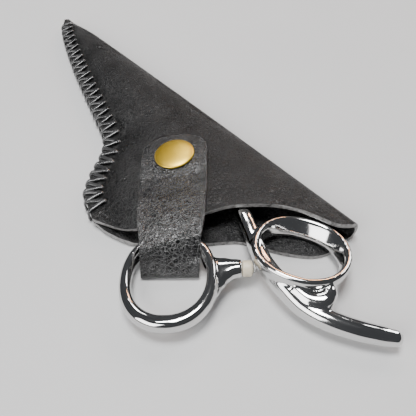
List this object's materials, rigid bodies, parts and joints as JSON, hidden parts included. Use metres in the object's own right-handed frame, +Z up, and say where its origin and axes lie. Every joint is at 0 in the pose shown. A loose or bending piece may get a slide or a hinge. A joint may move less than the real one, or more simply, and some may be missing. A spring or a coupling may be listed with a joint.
{
  "type": "hair cutting shears",
  "caption": "Hair cutting shears with a tanged finger ring, resting in a folded leather holster laced along one edge and closed by a snap strap through the thumb ring.",
  "frame": {"origin": "centre of the bounding box in plan, on the table the holster lies on", "axes": "+Z up from the table; +Y along the shears' blades, towards the closed tip of the holster; +X towards the folded edge"},
  "size_m": [0.0752, 0.2012, 0.0142],
  "materials": {
    "holster_leather": "grained black, satin",
    "lace_leather": "smooth black, slightly glossy",
    "polished_steel": "mirror polished",
    "snap_brass": "polished, slightly brushed",
    "bumper_nylon": "cream, smooth",
    "tip_clear": "clear, glossy"
  },
  "bodies": {
    "holster": {"sheath_leather": "holster_leather", "edge_lacing": "lace_leather", "strap_tab": "holster_leather", "tab_rivet_left": "snap_brass", "tab_rivet_right": "snap_brass", "snap_stud": "snap_brass"},
    "strap": {"holster_strap": "holster_leather", "snap_socket": "snap_brass", "snap_cap": "snap_brass"},
    "finger_half": {"finger_forging": "polished_steel", "pivot_pin": "polished_steel", "pivot_washer": "bumper_nylon"},
    "thumb_half": {"thumb_forging": "polished_steel", "bumper": "bumper_nylon", "bumper_tip": "tip_clear"},
    "dial": {"tension_dial": "polished_steel"}
  },
  "joints": [
    {"name": "shears_draw", "type": "slide", "parent": "holster", "child": "finger_half", "axis": [0, -1, 0], "range_m": [0, 0.155], "deforming": ["holster_strap"]},
    {"name": "blade_open", "type": "hinge", "parent": "finger_half", "child": "thumb_half", "pos_m": [0.00135, 0.01796, 0.0039], "axis": [0, 0, -1], "range_deg": [0, 23.3]},
    {"name": "tension_dial_turn", "type": "hinge", "parent": "finger_half", "child": "dial", "pos_m": [0.00135, 0.01796, 0.0064], "axis": [0, 0, 1], "range_deg": [-150, 150]},
    {"name": "strap_open", "type": "hinge", "parent": "holster", "child": "strap", "pos_m": [-0.02069, -0.05017, 0.00115], "axis": [0.8729, -0.4879, 0], "range_deg": [0, 80]}
  ],
  "couplings": [
    {"joint": "blade_open", "follows": "shears_draw", "rad_per_m": 2.618}
  ]
}
